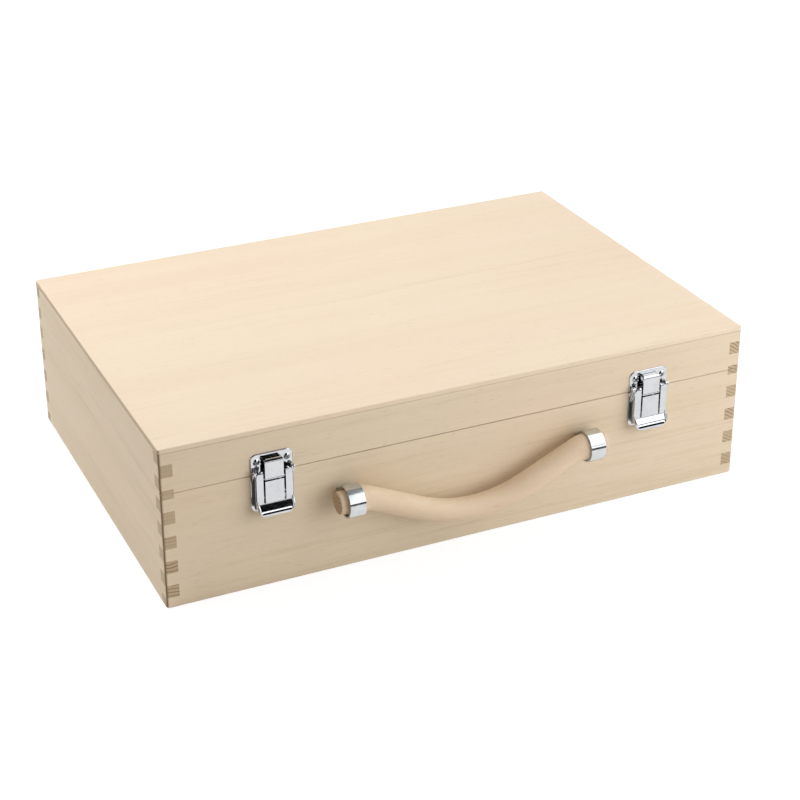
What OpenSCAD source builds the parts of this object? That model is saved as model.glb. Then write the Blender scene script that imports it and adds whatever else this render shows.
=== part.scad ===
// Wooden carrying case: finger-jointed box sawn into a base and a lid,
// two chrome draw latches, two stop hinges and a bent wooden handle in steel straps.
// Millimetres. Origin: middle of the underside. +X right, +Y back, +Z up.

/* [Case] */
// Outside width of the case
case_w = 400; // [340:5:460]
// Outside depth of the case, without the fittings
case_d = 270; // [220:5:320]
// Height of the four boards before the lid is sawn off
blank_h = 108; // [100:1:125]
// Height of the base, up to the saw cut
base_h = 78.4; // [77:0.2:86]
// Width of the saw cut that parts the lid from the base
saw_kerf = 2.4; // [1.5:0.1:3.2]
// Thickness of the front, back and side boards
board_t = 8.5; // [8:0.5:12]
// Thickness of the panel glued on top of the lid boards
top_t = 3; // [2:0.5:5]
// Thickness of the bottom panel
bottom_t = 4; // [3:0.5:6]
// Width of the rebate that takes the bottom panel
rebate_w = 4; // [2:0.5:6]
// Radius of the four upright corners
corner_r = 2; // [1:0.5:4]
// Radius round the top edge of the lid
top_edge_r = 1; // [0.5:0.25:1.75]

/* [Finger joints] */
// Side-board fingers that show on the front at each corner
side_fingers = 6; // [4:1:8]
// Plain strip of the front board below and above the fingers
end_strip_h = 7.5; // [5:0.5:10]

/* [Handle] */
// Distance between the middles of the two straps
strap_span = 166; // [140:2:200]
// Height of the handle's turning axis above the underside
handle_z = 53.4; // [46:0.2:58]
// Distance of the handle's turning axis in front of the front board
handle_out = 11.75; // [11:0.25:16]
// Outside radius of the straps
strap_r = 10.3; // [9:0.1:10.6]
// Thickness of the strap metal
strap_t = 1.2; // [0.8:0.1:1.6]
// Width of the straps
strap_w = 10.5; // [8:0.5:14]
// Half the distance across the two strap legs where they pass through the board
strap_leg_half = 4; // [3.4:0.2:6]
// Length of the strap tabs inside the case
tab_len = 9; // [7:0.5:12]
// Diameter of the grip at the middle of its bow
grip_d = 15; // [13:0.5:17]
// Diameter of the turned stub at each end of the grip
stub_d = 14.6; // [12:0.2:15.6]
// Length of the stub outside its strap
stub_len = 4.5; // [2:0.5:8]
// Depth of the stub's shoulder inside its strap
shoulder_in = 1.2; // [0.5:0.1:2.5]
// Radius of the bow's middle line
bow_r = 88; // [75:1:100]
// Radius of the middle line where the grip bends at each strap
neck_r = 20; // [14:1:26]
// Slope of the straight stretch between neck and bow
bend_angle = 24.5; // [16:0.5:28]

/* [Latches] */
// Distance from each end of the case to the middle of its latch
latch_inset = 70; // [40:1:72]
// Width of the latch plates
latch_w = 27.5; // [26:0.5:32]
// Thickness of the latch plates
plate_t = 0.8; // [0.6:0.1:1]
// Height of the catch plate above the seam
catch_h = 14.2; // [13:0.2:16]
// Height of the latch base plate below the seam
latch_h = 24.4; // [22:0.2:28]
// Corner radius of the plates and the lever
latch_corner_r = 4; // [3:0.5:4.5]
// Sheet thickness of lever and hook
lever_t = 0.9; // [0.7:0.05:1]
// Distance of the lever's front face from the front board
lever_out = 5; // [4.9:0.05:5.2]
// Height of the lever's rails above the seam
rail_rise = 4; // [3.8:0.1:4.5]
// Depth of the lever's lip below the seam
lever_drop = 25.8; // [24:0.2:30]
// Distance that the lip stands in front of the lever's face
lip_reach = 3.3; // [2.6:0.1:4]
// Outside radius of the lip's rolled edge
lip_r = 2.4; // [1.8:0.1:2.6]
// Radius of the inward bend between the lever's face and the lip
lip_bend_r = 3; // [2:0.1:3.4]
// Angle through which the sheet bends outwards to the lip
lip_angle = 60; // [50:1:70]
// Corner radius of the lip, seen from the front
lip_corner_r = 6.5; // [4:0.5:7]
// Width of the centre panel and of the hook
hook_w = 12; // [11:0.2:14]
// Width of the grooves beside the centre panel
groove_w = 1.2; // [0.6:0.1:1.4]
// Height of the hook's upper face above the seam
hook_rise = 11.4; // [10.6:0.2:12]
// Height of the lever's rivets above the seam
pivot_rise = 2.6; // [2.4:0.1:2.9]
// Distance of the lever's rivets from the front board
pivot_out = 3.1; // [3.05:0.05:3.15]
// Distance of the base plate's ears inside the plate's edges
ear_inset = 0.5; // [0.3:0.1:1]
// Radius of the lever's rivets
rivet_r = 0.7; // [0.55:0.05:0.75]
// Depth of the hook's pin below the seam
hook_pin_drop = 1.5; // [1.3:0.05:1.7]
// Distance of the hook's pin from the front board
hook_pin_out = 3.85; // [3.7:0.05:3.9]
// Radius of the hook's pin
hook_pin_r = 0.6; // [0.5:0.05:0.65]
// Half the distance between the two screws of a catch plate
catch_screw_x = 9.8; // [9.3:0.1:10.2]
// Half the distance between the two screws of a base plate
base_screw_x = 8.4; // [7.6:0.1:8.7]
// Height of the catch plate's screws above the seam
catch_screw_rise = 8.9; // [8.4:0.1:9.4]

/* [Hinges] */
// Distance from each end of the case to the middle of its hinge
hinge_inset = 80; // [40:5:110]
// Width of a hinge
hinge_w = 34; // [28:1:44]
// Height of each leaf
leaf_h = 16; // [14:0.5:20]
// Thickness of the leaves
leaf_t = 1; // [0.8:0.1:1.2]
// Outside radius of the knuckles
knuckle_r = 2.4; // [2.2:0.1:2.8]
// Radius of the hinge pin
hinge_pin_r = 1.2; // [1:0.05:1.3]
// Angle at which the stop lugs hold the lid
lid_open_angle = 95; // [90:1:100]

/* [Screws] */
// Radius of the screw heads
head_r = 2.2; // [1.8:0.1:2.4]
// Height of the screw heads
head_h = 1; // [0.7:0.1:1.2]
// Radius of the screw shanks
shank_r = 1.1; // [0.9:0.05:1.3]
// Length of the screws under the head
screw_len = 6.4; // [5:0.2:7]

/* [Fits] */
// Gap at the seam between the closed lid and the base
seam_gap = 0.2; // [0.1:0.05:0.4]
// Gap from the seam to the edge of each latch plate
plate_gap = 0.3; // [0.2:0.05:0.6]
// Clearance of a pin or a screw in its hole
pin_fit = 0.05; // [0.03:0.01:0.08]
// Clearance of the bottom panel and of the straps in the wood
slot_fit = 0.1; // [0.05:0.05:0.2]
// Clearance between metal pieces that move past each other
move_gap = 0.3; // [0.2:0.05:0.35]

/* [Hidden] */

$fn = 48;
// Overreach of cuts, and overlap that joins two shapes of one solid
over = 1;
join = 0.02;

half_w = case_w / 2;
half_d = case_d / 2;

// Finger joints, as they were cut before sawing
finger_h = (blank_h - 2 * end_strip_h) / (2 * side_fingers - 1);
lid_z = base_h + seam_gap;
lid_board_top = blank_h - saw_kerf + seam_gap;

// Handle: the middle line is two necks, two straights and one bow
strap_x = strap_span / 2;
bore_r = strap_r - strap_t;
leg_turn_gap = 0.3;
leg_back = handle_out - leg_turn_gap;
leg_slope = tangent_angle(strap_r, leg_back, strap_leg_half) - 90;
leg_bore_half = strap_leg_half - strap_t / cos(leg_slope);
tab_mid = strap_leg_half + tab_len / 2;
journal_r = bore_r - move_gap;
neck_step = 0.2;
neck_tube_r = journal_r - neck_step;
neck_x = strap_x - strap_w / 2;
straight_len = (neck_x - (bow_r + neck_r) * sin(bend_angle)) / cos(bend_angle);
bow_drop = (bow_r + neck_r) * (1 - cos(bend_angle)) + straight_len * sin(bend_angle);
bow_z = bow_r - bow_drop;
bow_steps = 9;
neck_steps = 6;
grip_sides = 28;
stub_edge = 0.8;

// Latches: heights measured from the underside, distances from the front board
latch_x = half_w - latch_inset;
latch_screw_z = base_h - latch_h / 2;
catch_screw_z = base_h + catch_screw_rise;
pivot_z = base_h + pivot_rise;
hook_pin_z = base_h - hook_pin_drop;
// Gap between the catch plate and what turns or slides over it
pass_gap = 0.4;
side_gap = 0.2;
// Ears of the base plate and the rivets in them
ear_t = plate_t;
ear_h = 6.1;
ear_out = latch_w / 2 - ear_inset;
ear_in = ear_out - ear_t;
rivet_wall = 0.8;
ear_r = rivet_r + rivet_wall;
rivet_rim = 0.5;
rivet_head_t = 0.35;
// Lever
lever_half = ear_in - side_gap;
lever_back = lever_out - lever_t;
wall_back = plate_t + pass_gap;
lobe_r = pivot_out - wall_back - side_gap;
lip_half = lever_half - lever_t + join;
// Lip: bent outwards from the face, straight for a little, then rolled under
roll_end_angle = -110;
roll_out = lever_out + lip_reach - lip_r;
roll_z = base_h - lever_drop + lip_r;
flare_end = [roll_out + lip_r * cos(lip_angle), roll_z + lip_r * sin(lip_angle)];
flare_len = (flare_end[0] - lever_out - lip_bend_r * (1 - cos(lip_angle))) / sin(lip_angle);
bend_z = flare_end[1] + flare_len * cos(lip_angle) + lip_bend_r * sin(lip_angle);
wall_foot = base_h - lever_drop + latch_corner_r;
wall_top = base_h + rail_rise - latch_corner_r;
wall_corner_r = 2.4;
// Hook, with room under its barrel for its plate to fold outwards
slot_half = hook_w / 2 + groove_w;
hook_barrel_r = lever_out - hook_pin_out;
hook_fold_gap = 0.45;
hook_bend = 1.1;
hook_corner_r = 1.5;
shelf_z = base_h + hook_rise - lever_t;
panel_top = hook_pin_z - hook_barrel_r - hook_fold_gap;
panel_foot_gap = 0.9;
panel_foot = bend_z + panel_foot_gap;
// Keeper under the hook's shelf
keeper_depth = 1.4;
keeper_inset = 1.1;
keeper_h = 2.1;
keeper_top = shelf_z - move_gap;
keeper_out = plate_t + keeper_depth;
keeper_half = hook_w / 2 - keeper_inset;

// Hinges: the axis lies behind the back board at the height of the seam
hinge_x = half_w - hinge_inset;
hinge_out = knuckle_r + move_gap;
hinge_z = base_h + seam_gap / 2;
knuckle_w = hinge_w / 3;
notch_gap = 0.5;
screw_margin = 2;
leaf_notch = knuckle_r + notch_gap;
leaf_corner_r = 2;
leaf_screw_x = hinge_w / 2 - head_r - screw_margin;
leaf_screw_z = leaf_h - head_r - screw_margin;
hinge_pin_proud = 0.4;
hinge_pin_len = hinge_w + 2 * hinge_pin_proud;
// The stop lug ends just under the upper leaf of the open lid
lug_out = 4;
lug_foot = 0.6;
leaf_face = hinge_out - leaf_t;
lug_reach = (lug_out + leaf_face * cos(lid_open_angle)) / sin(lid_open_angle);
lug_rise = leaf_face * sin(lid_open_angle) + lug_reach * cos(lid_open_angle) - pin_fit;

// Screws: cross recess, point and spare depth of the holes
cross_w = 0.6;
cross_depth = 0.6;
tip_len = 1.6;
hole_spare = 0.4;

// Local X and Y are X and Z of the case, and local +Z points out of the front board
module at_front(x, z, out = 0) {
    translate([x, -half_d - out, z]) rotate([90, 0, 0]) children();
}

// Local +Z points out of the back board
module at_back(x, z, out = 0) {
    translate([x, half_d + out, z]) rotate([-90, 0, 0]) children();
}

// Local +Z points into the case from the inner face of the front board
module at_inner(x, z, out = 0) {
    translate([x, board_t - half_d + out, z]) rotate([-90, 0, 0]) children();
}

// Sheet on the back board, with its outline drawn in X and Z
module sheet_on_back(x, t) {
    translate([x, half_d + t, 0]) rotate([90, 0, 0]) linear_extrude(t) children();
}

// Profile of (distance in front of the front board, height), run along X round x
module across_front(x, w) {
    translate([x, -half_d, 0]) rotate([90, 0, -90]) linear_extrude(w, center = true) children();
}

// Profile of (distance behind the hinge axis, height over it), run along X round x
module across_hinge(x, w) {
    translate([x, half_d + hinge_out, hinge_z]) rotate([90, 0, 90])
        linear_extrude(w, center = true) children();
}

// Round bar along X, with its middle at the given distance in front of the front board
module bar_at(x, out, z, r, w) {
    translate([x, -half_d - out, z]) rotate([0, 90, 0]) cylinder(r = r, h = w, center = true);
}

// Rectangle centred on X from y0 to y1, with corner radius r0 below and r1 above
module plate_outline(w, y0, y1, r0, r1) {
    mid = (y0 + y1) / 2;
    translate([-w / 2, y0 + r0]) square([w, y1 - y0 - r0 - r1]);
    translate([r0 - w / 2, y0]) square([w - 2 * r0, mid - y0]);
    translate([r1 - w / 2, mid]) square([w - 2 * r1, y1 - mid]);
    for (side = [-1, 1]) {
        if (r0 > 0) translate([side * (w / 2 - r0), y0 + r0]) circle(r0);
        if (r1 > 0) translate([side * (w / 2 - r1), y1 - r1]) circle(r1);
    }
}

// Cross-head screw whose head sits on the origin and points along +Z
module screw() {
    dome_r = (head_r * head_r + head_h * head_h) / (2 * head_h);
    difference() {
        rotate_extrude() intersection() {
            translate([0, head_h - dome_r]) circle(dome_r, $fn = 96);
            square([head_r, head_h]);
        }
        for (turn = [45, 135])
            translate([0, 0, head_h]) rotate(turn)
                cube([head_r * 1.2, cross_w, 2 * cross_depth], center = true);
    }
    translate([0, 0, tip_len - screw_len]) cylinder(r = shank_r, h = screw_len - tip_len);
    translate([0, 0, -screw_len]) cylinder(r1 = shank_r / 5, r2 = shank_r, h = tip_len);
}

// Hole for a screw's shank, open at both sides of the origin
module screw_hole() {
    translate([0, 0, -screw_len - hole_spare])
        cylinder(r = shank_r + pin_fit, h = screw_len + hole_spare + over);
}

// Every latch screw of the base or of the lid
module each_latch_screw(from_middle, z) {
    for (x = [-latch_x, latch_x], side = [-1, 1])
        at_front(x + side * from_middle, z, plate_t) children();
}

// Every hinge screw; up is -1 for the base and 1 for the lid
module each_hinge_screw(up) {
    for (x = [-hinge_x, hinge_x], side = [-1, 1])
        at_back(x + side * leaf_screw_x, hinge_z + up * leaf_screw_z, leaf_t) children();
}

// Every screw of the strap tabs, driven from inside the case
module each_strap_screw() {
    for (x = [-strap_x, strap_x], up = [-1, 1])
        at_inner(x, handle_z + up * tab_mid, strap_t) children();
}

// Rounded footprint shared by the boards and the top panel
module footprint(h) {
    linear_extrude(h)
        translate([0, -half_d]) plate_outline(case_w, 0, case_d, corner_r, corner_r);
}

// Front (y = -1) or back (y = 1) board before sawing, notched for the side boards' fingers
module long_blank(y) {
    difference() {
        translate([-half_w, y < 0 ? -half_d : half_d - board_t, 0])
            cube([case_w, board_t, blank_h]);
        for (x = [-1, 1], k = [0 : side_fingers - 1])
            translate([x * (half_w - board_t / 2 + over / 2), y * (half_d - board_t / 2),
                       end_strip_h + finger_h * (2 * k + 0.5)])
                cube([board_t + over, board_t + 2 * over, finger_h], center = true);
    }
}

// Lower and upper end of a side board's k-th notch, which takes the front board's finger
function notch_low(k) = k == 0 ? -over : end_strip_h + finger_h * (2 * k - 1);
function notch_high(k) = k == side_fingers ? blank_h + over : end_strip_h + finger_h * 2 * k;

// Left (x = -1) or right (x = 1) board before sawing
module side_blank(x) {
    difference() {
        translate([x < 0 ? -half_w : half_w - board_t, -half_d, 0])
            cube([board_t, case_d, blank_h]);
        for (y = [-1, 1], k = [0 : side_fingers])
            translate([x * (half_w - board_t / 2), y * (half_d - board_t / 2 + over / 2),
                       (notch_low(k) + notch_high(k)) / 2])
                cube([board_t + 2 * over, board_t + over, notch_high(k) - notch_low(k)],
                     center = true);
    }
}

// Lower part of a blank, with the rebate for the bottom panel
module below_cut() {
    difference() {
        intersection() {
            children();
            footprint(base_h);
        }
        translate([board_t - rebate_w - half_w, board_t - rebate_w - half_d, -over])
            cube([case_w - 2 * (board_t - rebate_w), case_d - 2 * (board_t - rebate_w),
                  bottom_t + over]);
    }
}

// Upper part of a blank, set down on the base by the width of the saw cut
module above_cut() {
    translate([0, 0, seam_gap - saw_kerf]) intersection() {
        children();
        translate([0, 0, base_h + saw_kerf]) footprint(blank_h - base_h - saw_kerf);
    }
}

module base_front_board() {
    color([0.86, 0.77, 0.64]) difference() {
        below_cut() long_blank(-1);
        each_latch_screw(base_screw_x, latch_screw_z) screw_hole();
        each_strap_screw() screw_hole();
        for (x = [-strap_x, strap_x], up = [-1, 1])
            translate([x, board_t / 2 - half_d, handle_z + up * (strap_leg_half - strap_t / 2)])
                cube([strap_w + 2 * slot_fit, board_t + 2 * over, strap_t + 2 * slot_fit],
                     center = true);
    }
}

module base_back_board() {
    color([0.86, 0.77, 0.64]) difference() {
        below_cut() long_blank(1);
        each_hinge_screw(-1) screw_hole();
    }
}

module base_side(x) {
    color([0.80, 0.72, 0.61]) below_cut() side_blank(x);
}

module base_bottom_panel() {
    inset = board_t - rebate_w + slot_fit;
    color([0.90, 0.83, 0.71]) translate([inset - half_w, inset - half_d, 0])
        cube([case_w - 2 * inset, case_d - 2 * inset, bottom_t]);
}

module lid_front_board() {
    color([0.86, 0.77, 0.64]) difference() {
        above_cut() long_blank(-1);
        each_latch_screw(catch_screw_x, catch_screw_z) screw_hole();
    }
}

module lid_back_board() {
    color([0.86, 0.77, 0.64]) difference() {
        above_cut() long_blank(1);
        each_hinge_screw(1) screw_hole();
    }
}

module lid_side(x) {
    color([0.80, 0.72, 0.61]) above_cut() side_blank(x);
}

// The panel's upper edge is rounded on all four sides
module lid_top_panel() {
    color([0.96, 0.90, 0.80]) translate([0, 0, lid_board_top]) intersection() {
        footprint(top_t);
        rotate([90, 0, 0]) linear_extrude(case_d, center = true)
            plate_outline(case_w, 0, top_t, 0, top_edge_r);
        rotate([90, 0, 90]) linear_extrude(case_w, center = true)
            plate_outline(case_d, 0, top_t, 0, top_edge_r);
    }
}

// Angle at which a line from the point (-back, up) touches the circle of radius r
function tangent_angle(r, back, up) = 180 - atan(up / back) - acos(r / norm([back, up]));

// A round eye that narrows to both sides of the point (-leg_back, 0)
module eye(r, up) {
    turn = tangent_angle(r, leg_back, up);
    circle(r);
    polygon([[r * cos(turn), r * sin(turn)], [-leg_back, up], [-leg_back, -up],
             [r * cos(turn), -r * sin(turn)]]);
}

// Steel strap bent into an eye round the grip's end; its legs close in behind the grip,
// pass through the board side by side and turn out inside
module handle_strap(x) {
    leg = handle_out + board_t + strap_t;
    leg_bore = strap_leg_half - strap_t;
    color([0.74, 0.76, 0.77]) difference() {
        across_front(x, strap_w) translate([handle_out, handle_z]) {
            difference() {
                union() {
                    eye(strap_r, strap_leg_half);
                    translate([-leg, -strap_leg_half])
                        square([leg - leg_back + join, 2 * strap_leg_half]);
                }
                eye(bore_r, leg_bore_half);
                translate([-leg - over, -leg_bore]) square([leg + over - leg_back + join, 2 * leg_bore]);
            }
            for (y = [leg_bore, -strap_leg_half - tab_len])
                translate([-leg, y]) square([strap_t, strap_t + tab_len]);
        }
        each_strap_screw() screw_hole();
    }
}

module handle_strap_screws() {
    color([0.72, 0.73, 0.75]) each_strap_screw() screw();
}

// Middle line of the grip's right half from the bow to its strap, each point given as
// distance along X, height over the turning axis, radius of the grip and slope
function grip_line() = concat(
    [for (k = [0 : bow_steps]) let (a = bend_angle * k / bow_steps)
        [bow_r * sin(a), bow_z - bow_r * cos(a), grip_d / 2, a]],
    [for (k = [0 : neck_steps]) let (a = bend_angle * (1 - k / neck_steps))
        [neck_x - neck_r * sin(a), neck_r * (cos(a) - 1), neck_tube_r, a]],
    [[neck_x + shoulder_in, 0, neck_tube_r, 0]]);

// The same points mirrored to the left half, listed from the left strap to the bow
function mirrored_line(line) =
    [for (k = [len(line) - 1 : -1 : 1]) [-line[k][0], line[k][1], line[k][2], -line[k][3]]];

function ring(p) = [for (k = [0 : grip_sides - 1]) let (t = 360 * k / grip_sides)
    [p[0] - p[2] * cos(t) * sin(p[3]), p[2] * sin(t), p[1] + p[2] * cos(t) * cos(p[3])]];

// Tube swept along the line, with flat ends
module swept_tube(line) {
    n = grip_sides;
    last = len(line) - 1;
    sides = [for (i = [0 : last - 1], k = [0 : n - 1]) let (m = (k + 1) % n)
        each [[i * n + k, (i + 1) * n + m, (i + 1) * n + k], [i * n + k, i * n + m, (i + 1) * n + m]]];
    ends = [[for (k = [n - 1 : -1 : 0]) k], [for (k = [0 : n - 1]) last * n + k]];
    polyhedron([for (p = line) each ring(p)], concat(sides, ends));
}

// Round journal inside the strap and the turned stub outside it
module grip_end() {
    translate([neck_x, 0, 0]) rotate([0, 90, 0]) {
        cylinder(r = journal_r, h = strap_w - shoulder_in);
        cylinder(d = stub_d, h = strap_w + stub_len - stub_edge);
        translate([0, 0, strap_w + stub_len - stub_edge])
            cylinder(r1 = stub_d / 2, r2 = stub_d / 2 - stub_edge, h = stub_edge);
    }
}

// Bent round bar whose middle line lies in one upright plane
module handle_grip() {
    right = grip_line();
    color([0.87, 0.74, 0.59]) translate([0, -half_d - handle_out, handle_z]) {
        swept_tube(concat(mirrored_line(right), right));
        grip_end();
        mirror([1, 0, 0]) grip_end();
    }
}

// Lower latch plate, with an ear at each side that carries the lever
module latch_base_plate(x) {
    ear_top = base_h - plate_gap;
    ear_foot = ear_top - ear_h;
    color([0.80, 0.81, 0.83]) difference() {
        union() {
            at_front(x, 0) linear_extrude(plate_t)
                plate_outline(latch_w, base_h - latch_h, ear_top, latch_corner_r, 0);
            for (side = [-1, 1]) across_front(x + side * (ear_in + ear_t / 2), ear_t) {
                polygon([[0, ear_foot], [0, ear_top], [wall_back, ear_top],
                         [pivot_out - ear_r, pivot_z], [pivot_out + ear_r, pivot_z],
                         [plate_t, ear_foot]]);
                translate([pivot_out, pivot_z]) circle(ear_r);
            }
        }
        each_latch_screw(base_screw_x, latch_screw_z) screw_hole();
        bar_at(x, pivot_out, pivot_z, rivet_r + pin_fit, latch_w + over);
    }
}

module latch_base_screws() {
    color([0.72, 0.73, 0.75]) each_latch_screw(base_screw_x, latch_screw_z) screw();
}

// Two short rivets through the ears and the lever's side walls
module latch_rivets(x) {
    inner = lever_half - lever_t - pin_fit - rivet_head_t / 2;
    outer = ear_out + rivet_head_t / 2;
    inner_head_r = lever_back - pivot_out - pin_fit;
    color([0.68, 0.69, 0.71]) for (side = [-1, 1]) {
        bar_at(x + side * inner, pivot_out, pivot_z, inner_head_r, rivet_head_t);
        bar_at(x + side * outer, pivot_out, pivot_z, rivet_r + rivet_rim, rivet_head_t);
        bar_at(x + side * (inner + outer) / 2, pivot_out, pivot_z, rivet_r, outer - inner);
    }
}

// Wedge from the origin between two angles that lie less than half a turn apart
module wedge(size, from, to) {
    polygon([[0, 0], for (step = [0:3]) let (a = from + (to - from) * step / 3)
        2 * size * [cos(a), sin(a)]]);
}

// Bent strip of sheet, with its outside radius, round the origin between two angles
module bent_sheet(radius, from, to) {
    intersection() {
        difference() {
            circle(radius);
            circle(radius - lever_t);
        }
        wedge(radius, from, to);
    }
}

// Profile of the lever's front sheet and of the lip at its foot
module lever_profile() {
    translate([lever_back, bend_z]) square([lever_t, base_h + rail_rise - bend_z]);
    translate([lever_out + lip_bend_r, bend_z])
        bent_sheet(lip_bend_r + lever_t, 180, 180 + lip_angle);
    translate(flare_end) rotate(lip_angle) translate([-lever_t, -join])
        square([lever_t, flare_len + 2 * join]);
    translate([roll_out, roll_z]) bent_sheet(lip_r, roll_end_angle, lip_angle);
}

// Profile of the lever's side walls, from the lip to the lobe round the rivet
module lever_wall_profile() {
    translate([wall_back, wall_foot + wall_corner_r])
        square([lever_out - wall_back, wall_top - wall_foot - wall_corner_r]);
    polygon([[wall_back, wall_top - join], [lever_out, wall_top - join],
             [pivot_out + lobe_r, pivot_z], [pivot_out - lobe_r, pivot_z]]);
    translate([wall_back + wall_corner_r, wall_foot])
        square([lever_out - wall_back - wall_corner_r, 2 * wall_corner_r]);
    translate([wall_back, wall_foot] + wall_corner_r * [1, 1]) circle(wall_corner_r);
    translate([pivot_out, pivot_z]) circle(lobe_r);
}

// Lever: two rails, a centre panel between them and a finger lip bent outwards
module latch_lever(x) {
    rail_top = base_h + rail_rise;
    color([0.82, 0.83, 0.85]) difference() {
        union() {
            intersection() {
                across_front(x, 2 * lever_half) lever_profile();
                at_front(x, 0) linear_extrude(lever_out + lip_reach + over) {
                    plate_outline(2 * lever_half, bend_z, rail_top, 0, latch_corner_r);
                    plate_outline(2 * lip_half, base_h - lever_drop, rail_top - latch_corner_r,
                                  lip_corner_r, 0);
                }
            }
            for (side = [-1, 1])
                across_front(x + side * (lever_half - lever_t / 2), lever_t)
                    lever_wall_profile();
            for (side = [-1, 1])
                across_front(x + side * (slot_half + lever_t / 2), lever_t) {
                    translate([hook_pin_out, hook_pin_z]) circle(hook_barrel_r);
                    translate([hook_pin_out, hook_pin_z - hook_barrel_r])
                        square([lever_back - hook_pin_out + lever_t / 2, 2 * hook_barrel_r]);
                }
        }
        at_front(x, 0, lever_back - over) linear_extrude(lever_t + 2 * over) difference() {
            translate([-slot_half, panel_foot]) square([2 * slot_half, rail_top]);
            translate([-hook_w / 2, 0]) square([hook_w, panel_top]);
        }
        bar_at(x, pivot_out, pivot_z, rivet_r + pin_fit, latch_w);
        bar_at(x, hook_pin_out, hook_pin_z, hook_pin_r + pin_fit, 2 * slot_half + 4 * lever_t);
    }
}

module latch_hook_pin(x) {
    color([0.68, 0.69, 0.71])
        bar_at(x, hook_pin_out, hook_pin_z, hook_pin_r, 2 * (slot_half + lever_t + move_gap));
}

// Hook: a plate that turns on the lever's pin and reaches over the keeper
module latch_hook(x) {
    top = base_h + hook_rise;
    bend = lever_t + hook_bend;
    color([0.80, 0.82, 0.83]) difference() {
        intersection() {
            across_front(x, hook_w) {
                translate([lever_back, hook_pin_z]) square([lever_t, top - bend - hook_pin_z]);
                translate([wall_back, shelf_z]) square([lever_out - bend - wall_back, lever_t]);
                translate([hook_pin_out, hook_pin_z]) circle(hook_barrel_r);
                intersection() {
                    translate([lever_out - bend, top - bend]) circle(bend);
                    translate([lever_out - bend, top - bend]) square(bend);
                }
            }
            at_front(x, 0) linear_extrude(2 * lever_out)
                plate_outline(hook_w, hook_pin_z - 2 * hook_barrel_r, top, 0, hook_corner_r);
        }
        bar_at(x, hook_pin_out, hook_pin_z, hook_pin_r + pin_fit, hook_w + over);
    }
}

// Catch plate on the lid, with the raised keeper that the hook pulls down on
module latch_catch_plate(x) {
    color([0.80, 0.81, 0.83]) difference() {
        union() {
            at_front(x, 0) linear_extrude(plate_t)
                plate_outline(latch_w, lid_z + plate_gap, base_h + catch_h, 0, latch_corner_r);
            across_front(x, 2 * keeper_half)
                polygon([[plate_t / 2, keeper_top - 2 * keeper_h],
                         [keeper_out, keeper_top - keeper_h],
                         [keeper_out, keeper_top], [plate_t / 2, keeper_top]]);
        }
        each_latch_screw(catch_screw_x, catch_screw_z) screw_hole();
    }
}

module latch_catch_screws() {
    color([0.72, 0.73, 0.75]) each_latch_screw(catch_screw_x, catch_screw_z) screw();
}

// Lower leaf: two outer knuckles, each with a lug that stops the open lid
module hinge_lower_leaf(x) {
    outer_mid = (knuckle_w + hinge_w) / 4 + slot_fit / 2;
    outer_w = (hinge_w - knuckle_w) / 2 - slot_fit;
    color([0.78, 0.78, 0.77]) difference() {
        union() {
            sheet_on_back(x, leaf_t) difference() {
                plate_outline(hinge_w, hinge_z - leaf_h, hinge_z, leaf_corner_r, 0);
                translate([-knuckle_w / 2 - slot_fit, hinge_z - leaf_notch])
                    square([knuckle_w + 2 * slot_fit, leaf_notch + over]);
            }
            for (side = [-1, 1]) across_hinge(x + side * outer_mid, outer_w) {
                circle(knuckle_r);
                polygon([[0, -knuckle_r], [lug_out, -lug_foot], [lug_out, lug_rise],
                         [0, lug_rise]]);
            }
        }
        across_hinge(x, hinge_w + over) circle(hinge_pin_r + pin_fit);
        each_hinge_screw(-1) screw_hole();
    }
}

// Upper leaf: one knuckle in the middle
module hinge_upper_leaf(x) {
    color([0.78, 0.78, 0.77]) difference() {
        union() {
            sheet_on_back(x, leaf_t) difference() {
                plate_outline(hinge_w, hinge_z, hinge_z + leaf_h, 0, leaf_corner_r);
                for (side = [0, 1]) mirror([side, 0])
                    translate([knuckle_w / 2 - slot_fit, hinge_z - over])
                        square([hinge_w, leaf_notch + over]);
            }
            across_hinge(x, knuckle_w - 2 * slot_fit) circle(knuckle_r);
        }
        across_hinge(x, hinge_w + over) circle(hinge_pin_r + pin_fit);
        each_hinge_screw(1) screw_hole();
    }
}

module hinge_pin(x) {
    color([0.66, 0.66, 0.66]) across_hinge(x, hinge_pin_len) circle(hinge_pin_r);
}

module hinge_lower_screws() {
    color([0.72, 0.73, 0.75]) each_hinge_screw(-1) screw();
}

module hinge_upper_screws() {
    color([0.72, 0.73, 0.75]) each_hinge_screw(1) screw();
}

base_front_board();
base_back_board();
base_side(-1);  // base_left_side
base_side(1);  // base_right_side
base_bottom_panel();
lid_front_board();
lid_back_board();
lid_side(-1);  // lid_left_side
lid_side(1);  // lid_right_side
lid_top_panel();
handle_strap(-strap_x);  // handle_left_strap
handle_strap(strap_x);  // handle_right_strap
handle_strap_screws();
handle_grip();
latch_base_plate(-latch_x);  // latch_left_base_plate
latch_base_plate(latch_x);  // latch_right_base_plate
latch_base_screws();
latch_rivets(-latch_x);  // latch_left_rivets
latch_rivets(latch_x);  // latch_right_rivets
latch_lever(-latch_x);  // latch_left_lever
latch_lever(latch_x);  // latch_right_lever
latch_hook_pin(-latch_x);  // latch_left_hook_pin
latch_hook_pin(latch_x);  // latch_right_hook_pin
latch_hook(-latch_x);  // latch_left_hook
latch_hook(latch_x);  // latch_right_hook
latch_catch_plate(-latch_x);  // latch_left_catch_plate
latch_catch_plate(latch_x);  // latch_right_catch_plate
latch_catch_screws();
hinge_lower_leaf(-hinge_x);  // hinge_left_lower_leaf
hinge_lower_leaf(hinge_x);  // hinge_right_lower_leaf
hinge_lower_screws();
hinge_upper_leaf(-hinge_x);  // hinge_left_upper_leaf
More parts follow.
